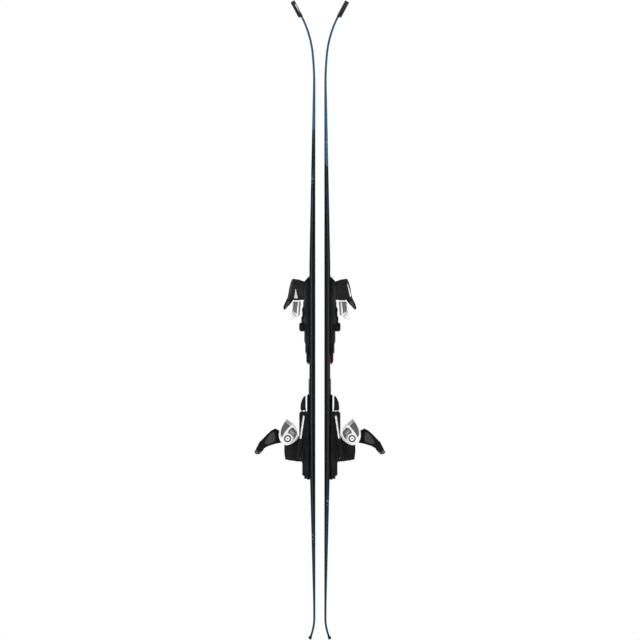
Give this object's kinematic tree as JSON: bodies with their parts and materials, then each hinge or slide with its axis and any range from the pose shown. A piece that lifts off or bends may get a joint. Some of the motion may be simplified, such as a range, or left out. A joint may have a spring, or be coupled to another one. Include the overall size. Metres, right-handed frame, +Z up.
{
  "type": "alpine skis with bindings",
  "caption": "Alpine skis standing base to base, each with a toe piece with swinging wings, a step-in heel piece with lever and jaw, and a folding brake.",
  "frame": {"origin": "on the floor, midway between the two tails", "axes": "+Z up towards the tips, +X from the first ski's base to the second ski's base, +Y across the skis"},
  "size_m": [0.3222, 0.119, 1.57],
  "materials": {
    "running_base": "sintered polyethylene, satin",
    "steel": "ground steel",
    "core": "satin sidewall",
    "top_sheet": "semi-gloss printed sheet",
    "black_plastic": "moulded, lightly grained",
    "white_plastic": "moulded, satin",
    "grey_plastic": "moulded, satin"
  },
  "bodies": {
    "ski1_ski": {"ski1_running_base": "running_base", "ski1_steel_edge_right": "steel", "ski1_steel_edge_left": "steel", "ski1_ski_core": "core", "ski1_top_sheet": "top_sheet", "ski1_tip_guard": "black_plastic", "ski1_tail_guard": "black_plastic", "ski1_toe_base": "black_plastic", "ski1_toe_housing": "black_plastic", "ski1_toe_pin_right": "steel", "ski1_toe_pin_left": "steel", "ski1_toe_plunger": "grey_plastic", "ski1_toe_spring": "steel", "ski1_toe_release_screw": "steel", "ski1_heel_rail": "black_plastic"},
    "ski1_heel": {"ski1_heel_carriage": "black_plastic", "ski1_heel_housing": "black_plastic", "ski1_heel_pin": "steel", "ski1_heel_spring": "steel", "ski1_heel_release_screw": "steel"},
    "ski1_heel_jaw": {"ski1_heel_jaw": "white_plastic"},
    "ski1_heel_lever": {"ski1_heel_lever": "grey_plastic"},
    "ski1_heel_plunger": {"ski1_heel_plunger": "grey_plastic"},
    "ski1_brake": {"ski1_brake_wire": "steel", "ski1_brake_pedal": "black_plastic", "ski1_brake_shoe_right": "black_plastic", "ski1_brake_shoe_left": "black_plastic"},
    "ski1_afd": {"ski1_afd_plate": "grey_plastic"},
    "ski1_toe_wing_right": {"ski1_toe_wing_right": "white_plastic"},
    "ski1_toe_wing_left": {"ski1_toe_wing_left": "white_plastic"},
    "ski2_ski": {"ski2_running_base": "running_base", "ski2_steel_edge_right": "steel", "ski2_steel_edge_left": "steel", "ski2_ski_core": "core", "ski2_top_sheet": "top_sheet", "ski2_tip_guard": "black_plastic", "ski2_tail_guard": "black_plastic", "ski2_toe_base": "black_plastic", "ski2_toe_housing": "black_plastic", "ski2_toe_pin_right": "steel", "ski2_toe_pin_left": "steel", "ski2_toe_plunger": "grey_plastic", "ski2_toe_spring": "steel", "ski2_toe_release_screw": "steel", "ski2_heel_rail": "black_plastic"},
    "ski2_heel": {"ski2_heel_carriage": "black_plastic", "ski2_heel_housing": "black_plastic", "ski2_heel_pin": "steel", "ski2_heel_spring": "steel", "ski2_heel_release_screw": "steel"},
    "ski2_heel_jaw": {"ski2_heel_jaw": "white_plastic"},
    "ski2_heel_lever": {"ski2_heel_lever": "grey_plastic"},
    "ski2_heel_plunger": {"ski2_heel_plunger": "grey_plastic"},
    "ski2_brake": {"ski2_brake_wire": "steel", "ski2_brake_pedal": "black_plastic", "ski2_brake_shoe_right": "black_plastic", "ski2_brake_shoe_left": "black_plastic"},
    "ski2_afd": {"ski2_afd_plate": "grey_plastic"},
    "ski2_toe_wing_right": {"ski2_toe_wing_right": "white_plastic"},
    "ski2_toe_wing_left": {"ski2_toe_wing_left": "white_plastic"}
  },
  "joints": [
    {"name": "ski1_heel_fore_aft", "type": "slide", "parent": "ski1_ski", "child": "ski1_heel", "axis": [0, 0, 1], "range_m": [-0.008, 0.012]},
    {"name": "ski1_heel_lever_turn", "type": "hinge", "parent": "ski1_heel", "child": "ski1_heel_lever", "pos_m": [-0.0791, 0, 0.4937], "axis": [0, -1, 0], "range_deg": [0, 45]},
    {"name": "ski1_heel_jaw_turn", "type": "hinge", "parent": "ski1_heel", "child": "ski1_heel_jaw", "pos_m": [-0.0791, 0, 0.4937], "axis": [0, -1, 0], "range_deg": [0, 36]},
    {"name": "ski1_heel_plunger_slide", "type": "slide", "parent": "ski1_heel", "child": "ski1_heel_plunger", "axis": [0, 0, -1], "range_m": [0, 0.0025], "deforming": ["ski1_heel_spring"]},
    {"name": "ski1_brake_turn", "type": "hinge", "parent": "ski1_heel", "child": "ski1_brake", "pos_m": [-0.0395, 0, 0.548], "axis": [0, -1, 0], "range_deg": [0, 48]},
    {"name": "ski1_afd_slide", "type": "slide", "parent": "ski1_ski", "child": "ski1_afd", "axis": [0, -1, 0], "range_m": [-0.003, 0.003], "stiffness_N_per_m": 800},
    {"name": "ski1_toe_wing_right_turn", "type": "hinge", "parent": "ski1_ski", "child": "ski1_toe_wing_right", "pos_m": [-0.055, -0.021, 0.846], "axis": [-1, 0, 0], "range_deg": [0, 30], "stiffness_Nm_per_rad": 3},
    {"name": "ski1_toe_wing_left_turn", "type": "hinge", "parent": "ski1_ski", "child": "ski1_toe_wing_left", "pos_m": [-0.055, 0.021, 0.846], "axis": [1, 0, 0], "range_deg": [0, 30], "stiffness_Nm_per_rad": 3},
    {"name": "ski2_apart", "type": "slide", "parent": "ski1_ski", "child": "ski2_ski", "axis": [1, 0, 0], "range_m": [0, 0.25]},
    {"name": "ski2_heel_fore_aft", "type": "slide", "parent": "ski2_ski", "child": "ski2_heel", "axis": [0, 0, 1], "range_m": [-0.008, 0.012]},
    {"name": "ski2_heel_lever_turn", "type": "hinge", "parent": "ski2_heel", "child": "ski2_heel_lever", "pos_m": [0.0791, 0, 0.4937], "axis": [0, 1, 0], "range_deg": [0, 45]},
    {"name": "ski2_heel_jaw_turn", "type": "hinge", "parent": "ski2_heel", "child": "ski2_heel_jaw", "pos_m": [0.0791, 0, 0.4937], "axis": [0, 1, 0], "range_deg": [0, 36]},
    {"name": "ski2_heel_plunger_slide", "type": "slide", "parent": "ski2_heel", "child": "ski2_heel_plunger", "axis": [0, 0, -1], "range_m": [0, 0.0025], "deforming": ["ski2_heel_spring"]},
    {"name": "ski2_brake_turn", "type": "hinge", "parent": "ski2_heel", "child": "ski2_brake", "pos_m": [0.0395, 0, 0.548], "axis": [0, 1, 0], "range_deg": [0, 48]},
    {"name": "ski2_afd_slide", "type": "slide", "parent": "ski2_ski", "child": "ski2_afd", "axis": [0, 1, 0], "range_m": [-0.003, 0.003], "stiffness_N_per_m": 800},
    {"name": "ski2_toe_wing_right_turn", "type": "hinge", "parent": "ski2_ski", "child": "ski2_toe_wing_right", "pos_m": [0.055, 0.021, 0.846], "axis": [1, 0, 0], "range_deg": [0, 30], "stiffness_Nm_per_rad": 3},
    {"name": "ski2_toe_wing_left_turn", "type": "hinge", "parent": "ski2_ski", "child": "ski2_toe_wing_left", "pos_m": [0.055, -0.021, 0.846], "axis": [-1, 0, 0], "range_deg": [0, 30], "stiffness_Nm_per_rad": 3}
  ],
  "couplings": [
    {"joint": "ski1_heel_jaw_turn", "follows": "ski1_heel_lever_turn", "ratio": 0.8},
    {"joint": "ski1_heel_plunger_slide", "follows": "ski1_heel_lever_turn", "m_per_rad": 0.00318},
    {"joint": "ski2_heel_jaw_turn", "follows": "ski2_heel_lever_turn", "ratio": 0.8},
    {"joint": "ski2_heel_plunger_slide", "follows": "ski2_heel_lever_turn", "m_per_rad": 0.00318}
  ]
}
